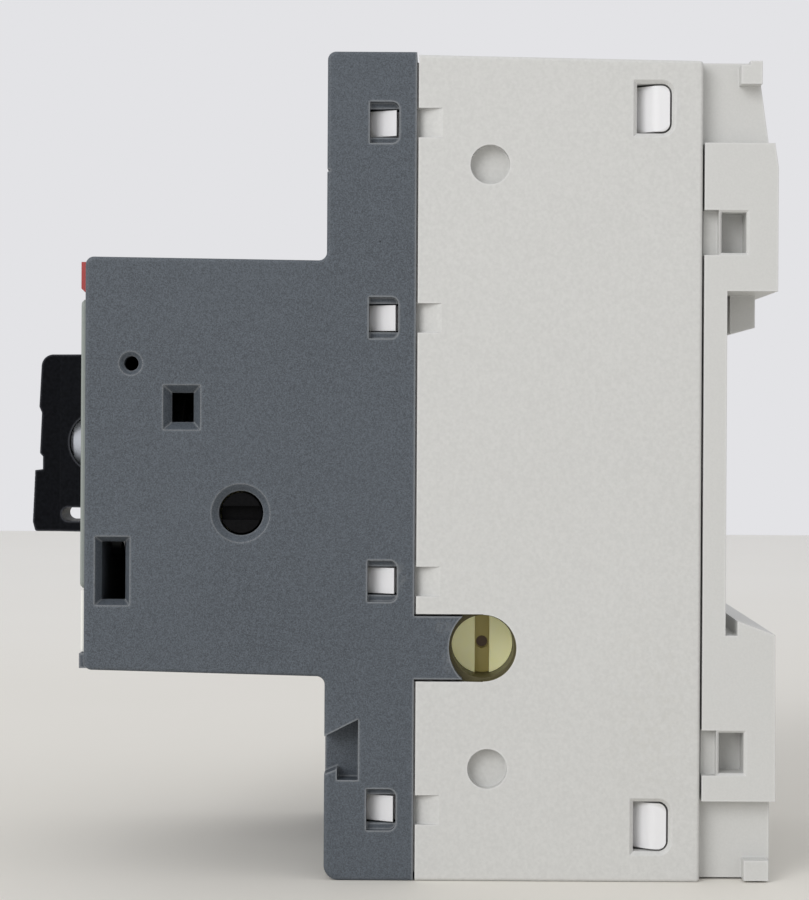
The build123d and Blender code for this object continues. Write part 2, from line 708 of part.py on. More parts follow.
def make_knob():
    top = knob_height + knob_length / 2 - knob_top_cut
    bottom = knob_height - knob_length / 2
    face = knob_back - knob_depth
    pad_face = knob_back - knob_pad_depth
    profile = [
        (knob_back, bottom), (pad_face + 0.3, bottom), (pad_face, bottom + 1.1), (pad_face + 0.25, -1.1),
        (face + 0.25, -1.0), (face + 0.25, 0.5), (face - 0.1, 0.9), (face + 0.1, 5.6), (face - 0.2, 6.3),
        (face + 0.1, top), (knob_back, top)]
    corners = [(pad_face + 0.3, bottom, 0.3), (face + 0.1, top, 1.4)]
    half = knob_width / 2
    bar = side_shape(profile, (-half, half), corners)

    # sides taper from the base to the grip
    grip = knob_grip_width / 2
    for side in (-1, 1):
        flank = [(side * (half + 1), knob_back - 1.5), (side * half, knob_back - 1.5),
                 (side * grip, knob_back - 4.5), (side * (grip - 0.2), pad_face - 1),
                 (side * (half + 1), pad_face - 1)]
        bar -= top_shape(flank, (bottom - 1, top + 1))

    # grip grooves across the thumb pad
    groove_count = 9
    groove_step = 0.62
    for index in range(groove_count):
        z = -1.7 - index * groove_step
        y = pad_face + 0.2 - 0.25 * index / groove_count
        groove = [(y - 0.5, z - 0.25), (y - 0.5, z + 0.25), (y + 0.1, z)]
        bar -= side_shape(groove, (-half, half))

    # hollow underside, open arch beside the collar, shackle notch, key hole
    inner = half - knob_wall
    bar -= block((-inner, inner), (knob_back - 3.4, knob_back + 1), (bottom + knob_wall, top - knob_wall))
    bar -= rod_x(3.4, (-half - 1, half + 1), knob_back, knob_height - 0.2)
    bar -= block((-half - 1, half + 1), (knob_back - 3.5, knob_back + 1), (-7.0, -5.4))
    bar -= rod_x(0.8, (-half - 1, half + 1), knob_back - 3.5, -6.2)
    key = rod_y(shaft_key_radius + running_clearance, 0, (key_tip - 0.3, knob_back), knob_height)
    key -= block((-5, 5), (knob_back - 7, knob_back + 1),
                 (knob_height + shaft_key_flat + running_clearance, knob_height + 5))
    bar -= key
    return bar


def make_knob_shaft():
    disc_back = frame_front + crank_disc_thickness
    shaft = rod_y(collar_radius, 0, (knob_back - 3.0, frame_front), knob_height)
    key = rod_y(shaft_key_radius, 0, (key_tip, knob_back - 2.5), knob_height)
    key -= block((-5, 5), (knob_back - 7, knob_back - 3.0),
                 (knob_height + shaft_key_flat, knob_height + 5))
    shaft += key
    shaft += rod_y(crank_disc_radius, 0, (frame_front, disc_back), knob_height)
    shaft += rod_y(crank_pin_radius, 0, (disc_back - 0.5, disc_back + crank_pin_length),
                   knob_height + crank_radius)
    return shaft


def make_front_plate():
    plate = block((-plate_half_width, plate_half_width), (plate_face, block_face), (plate_bottom, plate_top))
    plate = fillet(plate.edges().filter_by(Axis.Y), 0.8)
    plate = chamfer(plate.faces().sort_by(Axis.Y)[0].edges(), 0.25)
    plate -= rod_y(collar_radius + running_clearance, 0, (plate_face - 1, block_face + 1), knob_height)
    plate -= rod_y(dial_radius + running_clearance, -control_offset, (plate_face - 1, block_face + 1),
                   control_height)
    plate -= rod_y(test_radius + running_clearance, control_offset, (plate_face - 1, block_face + 1),
                   control_height)
    return plate


def make_red_badge():
    badge = block((-plate_half_width, plate_half_width), (block_face - badge_thickness, block_face),
                  (badge_bottom, badge_top))
    lower_edge = badge.edges().filter_by(Axis.X).sort_by(Axis.Z)[0:2].sort_by(Axis.Y)[0]
    return chamfer(lower_edge, 0.4)


def make_marker_plate():
    plate = block((-plate_half_width, plate_half_width), (block_face - marker_thickness, block_face),
                  (marker_bottom, plate_bottom - 0.1))
    return chamfer(plate.faces().sort_by(Axis.Y)[0].edges(), 0.2)


# ---------------------------------------------------------------- front controls

def make_setting_dial():
    x = -control_offset
    dial = rod_y(dial_radius, x, (plate_face - 0.3, front_inside + 0.5), control_height)
    dial += rod_y(dial_radius + 0.9, x, (front_inside + 0.05, front_inside + 1.5), control_height)
    dial += rod_y(dial_stem_radius, x, (front_inside + 1, shelf_back + 1.0), control_height)
    dial += rod_y(dial_cam_radius, x + dial_cam_throw, (shelf_back + 0.2, shelf_back + 1.6), control_height)
    dial -= block((x - dial_radius + 0.7, x + dial_radius - 0.7), (plate_face - 1, plate_face + 0.9),
                  (control_height - 0.5, control_height + 0.5))
    return dial


def make_test_plunger():
    x = control_offset
    flange = (front_inside + 0.05, front_inside + 1.2)
    plunger = rod_y(test_radius, x, (plate_face + 0.4, flange[0] + 0.2), control_height)
    plunger += rod_y(2.2, x, flange, control_height)
    plunger += rod_y(test_stem_radius, x, (flange[1] - 0.2, test_tip), control_height)
    plunger -= block((x - 1.0, x + 1.0), (plate_face, plate_face + 1.0),
                     (control_height - 0.25, control_height + 0.25))
    return plunger


def make_test_spring():
    start = front_inside + 1.2
    spring = along_y(helical_spring(1.6, 0.35, shelf_front - start - 0.1, 6))
    return Pos(control_offset, start + 0.05, control_height) * spring


# ---------------------------------------------------------------- switch mechanism

def make_mechanism_frame():
    rear = seam
    frame = None
    for side in (-1, 1):
        x = sorted((side * inner_barrier, side * frame_outer))
        cheek = block(x, (frame_front, rear), (frame_foot, frame_top))
        frame = cheek if frame is None else frame + cheek
    reach = (-inner_barrier - 0.5, inner_barrier + 0.5)
    frame += block(reach, (rear - 16, rear), (frame_top - frame_thickness, frame_top))
    frame += block(reach, (rear - 16, rear - 2), (frame_foot, frame_foot + frame_thickness))
    frame += block(reach, (rear - 1.5, rear - 0.3), (8.0, frame_top))
    frame -= rod_y(stem_radius + loose_clearance, 0, (rear - 3, rear + 1), carrier_height)
    through = (-frame_outer - 1, frame_outer + 1)
    frame -= rod_x(trip_bar_radius + running_clearance, through, trip_axis, trip_axis_height)
    frame -= rod_x(pin_radius, through, toggle_pivot, toggle_pivot_height)
    frame -= rod_x(pin_radius, through, latch_pivot, latch_pivot_height)
    return frame


def make_mechanism_pins():
    reach = (-frame_outer - 0.4, frame_outer + 0.4)
    return group([rod_x(pin_radius, reach, toggle_pivot, toggle_pivot_height),
                  rod_x(pin_radius, reach, latch_pivot, latch_pivot_height)])


def make_toggle_lever():
    """A bell crank: the crank pin presses its front arm, its nose holds the contact carrier."""
    reach = carrier_height - toggle_pivot_height
    nose_radius = stem_flange_face - toggle_pivot - 0.2
    crank_side = -crank_radius - crank_pin_radius - 0.2
    web = (-toggle_width / 2, toggle_width / 2)
    lever = rod_x(toggle_hub_radius, (crank_side, web[1]), toggle_pivot, toggle_pivot_height)
    lever += block(web, (toggle_pivot - lever_half, toggle_pivot + lever_half),
                   (toggle_pivot_height, toggle_pivot_height + reach))
    lever += rod_x(nose_radius, web, toggle_pivot, toggle_pivot_height + reach)
    arm_top_z = knob_height + crank_radius - crank_pin_radius - loose_clearance
    arm_front = frame_front + crank_disc_thickness + 0.2
    lever += block((crank_side, 1.2), (arm_front, toggle_pivot), (arm_top_z - 2.0, arm_top_z))
    bore = (crank_side - 1, web[1] + 1)
    lever -= rod_x(pin_radius + running_clearance, bore, toggle_pivot, toggle_pivot_height)
    return lever


def make_latch_lever():
    """Rests behind the trip bar's catch, and lifts when the bar turns."""
    reach = (latch_lever_place, latch_lever_place + latch_lever_width)
    lever = rod_x(latch_hub_radius, reach, latch_pivot, latch_pivot_height)
    lever += block(reach, (trip_axis + 0.9, latch_pivot), (latch_pivot_height - 1, latch_pivot_height + 0.4))
    lever += block(reach, (latch_pivot, latch_pivot + latch_tail_length),
                   (latch_pivot_height - 0.8, latch_pivot_height + 0.8))
    lever -= rod_x(pin_radius + running_clearance, (0, frame_outer), latch_pivot, latch_pivot_height)
    return lever


def make_latch_spring():
    low = frame_foot + frame_thickness
    high = latch_pivot_height - 0.8
    spring = helical_spring(1.0, 0.3, high - low - 0.1, 7)
    tail = latch_pivot + latch_tail_length - 1.3
    return Pos(latch_lever_place + latch_lever_width / 2, tail, low + 0.05) * spring


def make_opening_spring():
    start = stem_flange_back
    end = seam - 1.5
    spring = along_y(helical_spring(opening_spring_radius, 0.5, end - start - 0.1, 4))
    return Pos(0, start + 0.05, carrier_height) * spring


def make_trip_bar():
    """Turns on its length: the slotted end shows in the cover, arms lie over the magnet plungers."""
    bar = rod_x(trip_bar_radius, (-cover_inside + loose_clearance, half_width - 0.9), trip_axis,
                trip_axis_height)
    low_arm = (trip_axis_height - 0.8, trip_axis_height + 1.2)
    bend = seam - 2.0
    tab_low = plunger_top + plunger_travel + loose_clearance
    for x in pole_places:
        arm = (x - 1.5, x + 1.5)
        bar += block(arm, (trip_axis, bend), low_arm)
        bar += block(arm, (bend - 1.6, bend), (low_arm[0], tab_low + 1.6))
        bar += block(arm, (bend - 1.6, coil_axis + plunger_radius), (tab_low, tab_low + 1.6))
    bar += block((2.0, 4.8), (trip_axis - 0.7, trip_axis + 0.7), (trip_axis_height, trip_axis_height + 4.8))
    bar += block((control_offset - 1.5, control_offset + 1.5), (test_tab, test_tab + 2.0),
                 (control_height - 1.5, trip_axis_height))
    slot_width = 1.5
    slot_depth = 1.2
    bar -= block((half_width - 0.9 - slot_depth, half_width), (trip_axis - 3, trip_axis + 3),
                 (trip_axis_height - slot_width / 2, trip_axis_height + slot_width / 2))
    return bar


def make_switch_coupler():
    """A slotted stub for an accessory on the side, turned by an arm inside."""
    face = half_width - coupler_recess
    tube_end = face - 4.5
    stub = rod_x(coupler_radius, (tube_end - 0.3, face), coupler_axis, coupler_height)
    stub -= block((face - 1.2, face + 1), (coupler_axis - 0.8, coupler_axis + 0.8),
                  (coupler_height - 5, coupler_height + 5))
    stub -= rod_x(0.7, (face - 2.0, face), coupler_axis, coupler_height)
    arm = (tube_end - 2.3, tube_end - 0.3)
    stub += block(arm, (coupler_axis - 11.5, coupler_axis), (coupler_height - 1.0, coupler_height + 1.0))
    stub += rod_x(2.4, arm, coupler_axis, coupler_height)
    return stub


def make_contact_carrier():
    """A crossbar over the three poles with a cage for each bridge, and a stem to the mechanism."""
    reach = latch_arm_inner - loose_clearance
    carrier = block((-reach, reach), (crossbar_front, crossbar_back), (carrier_low, carrier_high))
    window = contact_width / 2 + 0.6
    cheek = 1.0
    window_back = contact_face + 0.4
    for x in pole_places:
        for side in (-1, 1):
            wall = sorted((x + side * window, x + side * (window + cheek)))
            carrier += block(wall, (crossbar_back - 0.5, window_back + 1.2),
                             (carrier_height - 2.2, carrier_height + 2.2))
        carrier += block((x - window - cheek, x + window + cheek), (window_back, window_back + 1.2),
                         (carrier_height - 2.2, carrier_height + 2.2))
    carrier += rod_y(stem_radius, 0, (stem_flange_face, crossbar_front + 0.5), carrier_height)
    carrier += rod_y(stem_flange_radius, 0, (stem_flange_face, stem_flange_back), carrier_height)
    return carrier


# ---------------------------------------------------------------- current path

def contact_tip(x, y, z):
    return rod_y(tip_radius, x, y, z)


def make_moving_contact(x):
    back = contact_face - tip_thickness - running_clearance
    bridge_back = back - 0.45
    half = contact_half_span + tip_radius + 0.4
    bridge = block((x - contact_width / 2, x + contact_width / 2),
                   (bridge_back - contact_thickness, bridge_back),
                   (carrier_height - half, carrier_height + half))
    for z in (carrier_height - contact_half_span, carrier_height + contact_half_span):
        bridge += contact_tip(x, (bridge_back - 0.2, back), z)
    return bridge


def make_contact_springs():
    bridge_front = contact_face - tip_thickness - running_clearance - 0.45 - contact_thickness
    length = bridge_front - crossbar_back
    spring = along_y(helical_spring(contact_spring_radius, 0.4, length - 0.1, 4))
    return group([Pos(x, crossbar_back + 0.05, carrier_height) * spring for x in pole_places])


def side_bar(points, x):
    """A bent strip from its side outline, centred on a pole."""
    return side_shape(points, (x - bar_width / 2, x + bar_width / 2))


def make_line_contact_bars():
    """From the upper terminal, back to the upper fixed contact."""
    tip_height = carrier_height + contact_half_span
    leg_low = tip_height + 2.6
    leg_high = leg_low + bar_thickness
    outline = [
        (bar_face, half_height - 3.5), (bar_face, leg_low), (contact_face, leg_low),
        (contact_face, tip_height - 2.0), (contact_face + bar_thickness, tip_height - 2.0),
        (contact_face + bar_thickness, leg_high), (bar_back, leg_high), (bar_back, half_height - 3.5)]
    bars = []
    for x in pole_places:
        bar = side_bar(outline, x)
        bar += contact_tip(x, (contact_face - tip_thickness, contact_face + 0.2), tip_height)
        bars.append(bar)
    return group(bars)


def make_inner_contact_bars():
    """From the lower fixed contact, forward and down to the magnet coil."""
    tip_height = carrier_height - contact_half_span
    leg_high = tip_height - 3.9
    leg_low = leg_high - bar_thickness
    tail = coil_axis + coil_radius + 2.1
    outline = [
        (contact_face, tip_height + 2.0), (contact_face, leg_high), (tail, leg_high), (tail, coil_bottom + 6),
        (tail + bar_thickness, coil_bottom + 6), (tail + bar_thickness, leg_low),
        (contact_face + bar_thickness, leg_low), (contact_face + bar_thickness, tip_height + 2.0)]
    bars = []
    for x in pole_places:
        bar = side_bar(outline, x)
        bar += contact_tip(x, (contact_face - tip_thickness, contact_face + 0.2), tip_height)
        bars.append(bar)
    return group(bars)


def make_load_bars():
    """From the lower terminal, around its cage to the foot of the bimetal."""
    leg_low = -terminal_height + cage_length / 2 + 0.15
    leg_high = leg_low + bar_thickness
    drop = bar_back + wire_space + 2.4
    foot_low = bimetal_foot - bar_thickness
    foot_back = bimetal_front + bimetal_width + 1.0
    outline = [
        (bar_face, -half_height + 3.5), (bar_face, leg_high), (drop + bar_thickness, leg_high),
        (drop + bar_thickness, bimetal_foot), (foot_back, bimetal_foot), (foot_back, foot_low),
        (drop, foot_low), (drop, leg_low), (bar_back, leg_low), (bar_back, -half_height + 3.5)]
    return group([side_bar(outline, x) for x in pole_places])


def make_arc_chutes():
    """Two stacks of splitter plates per pole, each held between two side cards."""
    chutes = []
    card = 0.8
    half = inner_barrier - loose_clearance
    plate_pitch = 2.2
    upper = (carrier_height + contact_half_span + 5.5, snap_height - snap_window_height / 2 - 0.6)
    lower = (slider_bottom + slider_thickness + 0.8, carrier_height - contact_half_span - 5.9)
    for x in pole_places:
        for z in (upper, lower):
            start = bar_back + wire_space + 2.6 if z is upper else coil_axis + coil_radius + 3.9
            end = housing_back - housing_wall - loose_clearance
            stack = None
            for side in (-1, 1):
                wall = sorted((x + side * half, x + side * (half - card)))
                side_card = block(wall, (start, end), z)
                stack = side_card if stack is None else stack + side_card
            count = int((end - start - 1.0) // plate_pitch) + 1
            for index in range(count):
                y = start + index * plate_pitch
                stack += block((x - half + card / 2, x + half - card / 2), (y, y + 1.0), z)
            chutes.append(stack)
    return group(chutes)


# ---------------------------------------------------------------- box terminals

def make_terminal_screw(x, z):
    head = rod_y(screw_head_diameter / 2, x, (head_front, head_back), z)
    head = chamfer(head.faces().sort_by(Axis.Y)[0].edges(), 0.3)
    screw = head + rod_y(thread_diameter / 2, x, (head_back - 0.5, bar_face - 0.1), z)
    slot = (head_front - 1, head_front + screw_slot_depth)
    reach = screw_head_diameter / 2 - 0.5
    screw -= block((x - reach, x + reach), slot, (z - screw_slot_width / 2, z + screw_slot_width / 2))
    screw -= block((x - screw_slot_width / 2, x + screw_slot_width / 2), slot, (z - reach, z + reach))
    return screw


def make_terminal_cage(x, z):
    """A square clamp, drawn forward by the screw so that its back wall lifts the wire to the bar."""
    front = head_back + 0.7 + clamp_travel
    back = bar_back + wire_space + cage_wall + 0.2
    low = z - cage_length / 2
    high = z + cage_length / 2
    cage = block((x - cage_width / 2, x + cage_width / 2), (front, back), (low, high))
    cage -= block((x - cage_width / 2 + cage_wall, x + cage_width / 2 - cage_wall),
                  (front + cage_thread_wall, back - cage_wall - 0.2), (low - 1, high + 1))
    cage -= rod_y(thread_diameter / 2 + running_clearance, x, (front - 1, front + 3), z)
    return cage


# ---------------------------------------------------------------- releases

def make_magnet_coil(x):
    """Round wire wound on a tube, upright."""
    wire = (coil_top - coil_bottom - 0.6) / 6
    tube = coil_radius - wire / 2
    coil = rod_z(tube, x, coil_axis, (coil_bottom + 0.05, coil_top - 0.05))
    for index in range(6):
        z = coil_bottom + 0.3 + wire * (index + 0.5)
        coil += Pos(x, coil_axis, z) * Torus(tube, wire / 2)
    coil -= rod_z(plunger_radius + running_clearance, x, coil_axis, (coil_bottom - 1, coil_top + 1))
    return coil


def make_magnet_yokes():
    back = coil_axis + coil_radius + 0.6
    front = coil_axis - coil_radius
    half = coil_radius - 0.1
    yokes = []
    for x in pole_places:
        reach = (x - half, x + half)
        yoke = block(reach, (front, back + yoke_thickness), (coil_bottom - yoke_thickness, coil_bottom))
        yoke += block(reach, (back, back + yoke_thickness), (coil_bottom - 0.5, coil_top + 0.5))
        yoke += block(reach, (front, back + yoke_thickness), (coil_top, coil_top + yoke_thickness))
        yoke -= rod_z(plunger_rod_radius + running_clearance, x, coil_axis, (coil_top - 1, coil_top + 2))
        yokes.append(yoke)
    return group(yokes)


def make_magnet_plunger(x):
    plunger = rod_z(plunger_radius, x, coil_axis, (coil_bottom + running_clearance, plunger_shoulder))
    return plunger + rod_z(plunger_rod_radius, x, coil_axis, (plunger_shoulder - 0.5, plunger_top))


def make_plunger_spring(x):
    """Around the plunger's rod, between its shoulder and the yoke."""
    length = coil_top - plunger_shoulder
    spring = helical_spring(plunger_rod_radius + 0.4, 0.35, length - 0.1, 5)
    return Pos(x, coil_axis, plunger_shoulder + 0.05) * spring


def make_bimetal(x):
    return block((x - bimetal_thickness / 2, x + bimetal_thickness / 2),
                 (bimetal_front, bimetal_front + bimetal_width), (bimetal_foot, bimetal_tip))


def make_heater(x):
    """Resistance ribbon in square turns around the bimetal, joined by a strip at one side."""
    ribbon = 0.5
    inner_x = bimetal_thickness / 2 + 0.2
    inner_y = (bimetal_front - 0.3, bimetal_front + bimetal_width + 0.3)
    turns = 6
    turn_height = 1.6
    turn_pitch = 2.6
    start = bimetal_foot + heater_rise
    outer_x = inner_x + ribbon
    heater = block((x + inner_x, x + outer_x), (inner_y[0] + 1, inner_y[1] - 1),
                   (start, start + turn_pitch * (turns - 1) + turn_height))
    for index in range(turns):
        z = (start + turn_pitch * index, start + turn_pitch * index + turn_height)
        turn = block((x - outer_x, x + outer_x), (inner_y[0] - ribbon, inner_y[1] + ribbon), z)
        turn -= block((x - inner_x, x + inner_x), inner_y, (z[0] - 1, z[1] + 1))
        heater += turn
    return heater


def make_trip_slider():
    """A bar across the poles, with a finger beside the free end of each bimetal."""
    high = slider_bottom + slider_thickness
    left = lever_x + lever_half + loose_clearance
    slider = block((left, housing_inside - 0.7), (bimetal_front + 0.5, slider_back), (slider_bottom, high))
    for x in pole_places:
        finger_face = x - bimetal_thickness / 2 - loose_clearance
        finger = (finger_face - 1.2, finger_face)
        slider += block(finger, (bimetal_front + 0.5, slider_back), (bimetal_tip - 2.8, slider_bottom + 0.5))
    return slider


def make_compensator_lever():
    """Pivots upright in the cover's floor: its back finger meets the slider, its front one the dial's cam."""
    bar = (lever_x - lever_half, lever_x + lever_half)
    cam_front = shelf_back + 0.3
    finger_back = slider_back - 0.3
    lever = block(bar, (cam_front, finger_back), (lever_low, lever_high))
    lever += block(bar, (finger_back - 3, finger_back), (lever_low, slider_bottom + slider_thickness))
    lever += block(bar, (cam_front, cam_front + 1.7), (lever_low, control_height + 2.5))
    lever += rod_z(lever_hub_radius, lever_x, lever_pivot, (lever_low, lever_high))
    lever += rod_z(1.0, lever_x, lever_pivot, (-block_inside + 0.3, lever_low + 0.5))
    return lever


# ---------------------------------------------------------------- the breaker

save("front_cover", make_front_cover())
save("main_housing", make_main_housing())
save("rear_mounting_base", make_rail_base())
save("rail_spring", make_rail_spring())
save("rotary_knob", make_knob())
save("knob_shaft", make_knob_shaft())
save("front_plate", make_front_plate())
save("red_badge", make_red_badge())
save("marker_plate", make_marker_plate())
save("setting_dial", make_setting_dial())
save("test_plunger", make_test_plunger())
save("test_spring", make_test_spring())
save("mechanism_frame", make_mechanism_frame())
save("mechanism_pins", make_mechanism_pins())
save("toggle_lever", make_toggle_lever())
save("latch_lever", make_latch_lever())
save("latch_spring", make_latch_spring())
save("opening_spring", make_opening_spring())
save("trip_bar", make_trip_bar())
save("switch_coupler", make_switch_coupler())
save("contact_carrier", make_contact_carrier())
save("contact_springs", make_contact_springs())
save("line_contact_bars", make_line_contact_bars())
save("inner_contact_bars", make_inner_contact_bars())
save("load_bars", make_load_bars())
save("arc_chutes", make_arc_chutes())
save("magnet_yokes", make_magnet_yokes())
save("trip_slider", make_trip_slider())
save("compensator_lever", make_compensator_lever())
for number, x in enumerate(pole_places, start=1):
    save(f"moving_contact_{number}", make_moving_contact(x))
    save(f"line_screw_{number}", make_terminal_screw(x, terminal_height))
    save(f"load_screw_{number}", make_terminal_screw(x, -terminal_height))
    save(f"line_cage_{number}", make_terminal_cage(x, terminal_height))
    save(f"load_cage_{number}", make_terminal_cage(x, -terminal_height))
    save(f"magnet_coil_{number}", make_magnet_coil(x))
    save(f"magnet_plunger_{number}", make_magnet_plunger(x))
    save(f"plunger_spring_{number}", make_plunger_spring(x))
    save(f"bimetal_{number}", make_bimetal(x))
    save(f"heater_{number}", make_heater(x))
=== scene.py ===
import bmesh
import bpy
from math import cos, radians, sin
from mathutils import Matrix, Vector


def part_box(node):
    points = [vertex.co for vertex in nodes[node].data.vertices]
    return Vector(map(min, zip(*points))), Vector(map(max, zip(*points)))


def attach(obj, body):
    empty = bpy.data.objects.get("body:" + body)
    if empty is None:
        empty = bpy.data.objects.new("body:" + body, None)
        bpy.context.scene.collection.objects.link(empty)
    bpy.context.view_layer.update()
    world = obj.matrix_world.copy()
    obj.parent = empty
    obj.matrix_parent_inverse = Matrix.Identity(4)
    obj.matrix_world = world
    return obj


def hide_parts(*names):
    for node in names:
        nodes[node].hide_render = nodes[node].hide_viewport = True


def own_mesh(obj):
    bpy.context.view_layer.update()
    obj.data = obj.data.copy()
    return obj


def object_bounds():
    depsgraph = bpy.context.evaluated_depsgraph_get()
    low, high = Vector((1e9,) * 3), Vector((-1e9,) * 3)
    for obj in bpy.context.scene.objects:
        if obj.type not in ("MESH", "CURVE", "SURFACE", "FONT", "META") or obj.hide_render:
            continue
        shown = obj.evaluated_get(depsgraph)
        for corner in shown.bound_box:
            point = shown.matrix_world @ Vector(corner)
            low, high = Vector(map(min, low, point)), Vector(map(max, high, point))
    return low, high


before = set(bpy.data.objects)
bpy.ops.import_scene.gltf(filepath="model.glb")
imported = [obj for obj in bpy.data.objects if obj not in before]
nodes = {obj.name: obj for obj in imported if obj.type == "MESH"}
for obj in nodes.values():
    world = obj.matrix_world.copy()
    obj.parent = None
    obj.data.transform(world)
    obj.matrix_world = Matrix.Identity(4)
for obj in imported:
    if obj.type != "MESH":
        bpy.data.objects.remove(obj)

cad_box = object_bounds()
mm = 0.001


# ------------------------------------------------------------------ front cover
# The dark grey upper shell of the casing: a stepped box, moulded with a fine spark-eroded grain.
# It snaps over hooks of the housing and carries the plates, the knob and the small controls.

class Shade:
    """A value or colour inside a finish. Arithmetic on it adds the Math nodes."""

    def __init__(self, finish, socket):
        self.finish = finish
        self.socket = socket

    def math(self, operation, first, second):
        return self.finish.node("ShaderNodeMath", {"operation": operation}, {0: first, 1: second})

    def __add__(self, other):
        return self.math("ADD", self, other)

    def __sub__(self, other):
        return self.math("SUBTRACT", self, other)

    def __rsub__(self, other):
        return self.math("SUBTRACT", other, self)

    def __mul__(self, other):
        return self.math("MULTIPLY", self, other)

    def __lt__(self, other):
        return self.math("LESS_THAN", self, other)

    __radd__ = __add__
    __rmul__ = __mul__


class Finish:
    """A material on one Principled shader, with one method for any other node."""

    def __init__(self, name, **fixed):
        self.material = bpy.data.materials.new(name)
        self.material.use_nodes = True
        self.shader = self.material.node_tree.nodes["Principled BSDF"]
        self.place = self.node("ShaderNodeTexCoord", {}, {}, "Object")
        self.set(**fixed)

    def node(self, kind, settings, inputs, output=0):
        made = self.material.node_tree.nodes.new(kind)
        for name, value in settings.items():
            if name == "stops":
                for element, (position, level) in zip(made.color_ramp.elements, value):
                    element.position = position
                    element.color = (level, level, level, 1)
            else:
                setattr(made, name, value)
        for name, value in inputs.items():
            self.feed(made.inputs[name], value)
        return Shade(self, made.outputs[output])

    def feed(self, socket, value):
        if isinstance(value, Shade):
            self.material.node_tree.links.new(value.socket, socket)
        else:
            socket.default_value = value

    def set(self, **values):
        for name, value in values.items():
            self.feed(self.shader.inputs[name.replace("_", " ")], value)

    def noise(self, size, detail=2.0, stretch=(1, 1, 1), seed=0.0):
        """Noise from 0 to 1 whose features are about size across."""
        where = self.node("ShaderNodeMapping", {}, {"Vector": self.place, "Scale": stretch})
        return self.node("ShaderNodeTexNoise", {"noise_dimensions": "4D"},
                         {"Vector": where, "W": seed, "Scale": 1 / size, "Detail": detail})

    def ramp(self, value, low, high):
        """0 below low, 1 above high, and smooth between them."""
        stops = [(low, 0.0), (high, 1.0)]
        return self.node("ShaderNodeValToRGB", {"stops": stops}, {"Fac": value})

    def mix(self, share, first, second):
        """The first colour where share is 0, the second where it is 1."""
        share_socket, first_socket, second_socket, result_socket = 0, 6, 7, 2    # of the node's colour set
        return self.node("ShaderNodeMix", {"data_type": "RGBA"},
                         {share_socket: share, first_socket: first, second_socket: second}, result_socket)

    def near(self, point, radius, edge, along=(1, 1, 1)):
        """1 within radius of a point and 0 past radius + edge. Axes that are 0 in along don't count."""
        here = self.node("ShaderNodeVectorMath", {"operation": "MULTIPLY"}, {0: self.place, 1: along})
        centre = tuple(place * share for place, share in zip(point, along))
        distance = self.node("ShaderNodeVectorMath", {"operation": "DISTANCE"}, {0: here, 1: centre}, "Value")
        fall = {"Value": distance, "From Min": radius, "From Max": radius + edge, "To Min": 1.0, "To Max": 0.0}
        return self.node("ShaderNodeMapRange", {}, fall)

    def specks(self, spacing, size, seed):
        """1 on scattered dots of about size, 0 elsewhere."""
        where = self.node("ShaderNodeMapping", {}, {"Vector": self.place, "Location": (seed, seed, seed)})
        distance = self.node("ShaderNodeTexVoronoi", {}, {"Vector": where, "Scale": 1 / spacing})
        return distance < size / spacing

    def edges(self, radius):
        """1 along corners, within about radius of them, and 0 on flat ground.

        The normal of a rounded corner turns away from the face's own normal there.
        """
        slight_turn, full_turn = 0.01, 0.13
        soft = self.node("ShaderNodeBevel", {"samples": 6}, {"Radius": radius})
        flat = self.node("ShaderNodeNewGeometry", {}, {}, "True Normal")
        likeness = self.node("ShaderNodeVectorMath", {"operation": "DOT_PRODUCT"}, {0: soft, 1: flat}, "Value")
        return self.ramp(1 - likeness, slight_turn, full_turn)

    def relief(self, height, depth, rounding):
        """Relief from a height of 0 to 1, on edges rounded off by a radius."""
        soft = self.node("ShaderNodeBevel", {"samples": 4}, {"Radius": rounding})
        self.set(Normal=self.node("ShaderNodeBump", {}, {"Height": height, "Distance": depth, "Normal": soft}))

    def coat(self, *names):
        """Gives CAD pieces this finish."""
        for name in names:
            mesh = nodes[name].data
            mesh.materials.clear()
            mesh.materials.append(self.material)


def shown(red, green, blue):
    """The linear colour that an sRGB screen shows as these 0 to 255 values."""
    return tuple((((v / 255) + 0.055) / 1.055) ** 2.4 for v in (red, green, blue)) + (1,)


def toned(colour, share):
    """A colour made darker or lighter by a factor."""
    return tuple(v * share for v in colour[:3]) + (1,)


def spot(point, radius, edge, colour, share=1, along=(1, 1, 1)):
    """A stained or scuffed place, or a place of painted shade or painted highlight, with a soft edge, in
    millimetres. It is patchy unless its share is 1.
    """
    return tuple(place * mm for place in point), radius * mm, edge * mm, colour, share, along


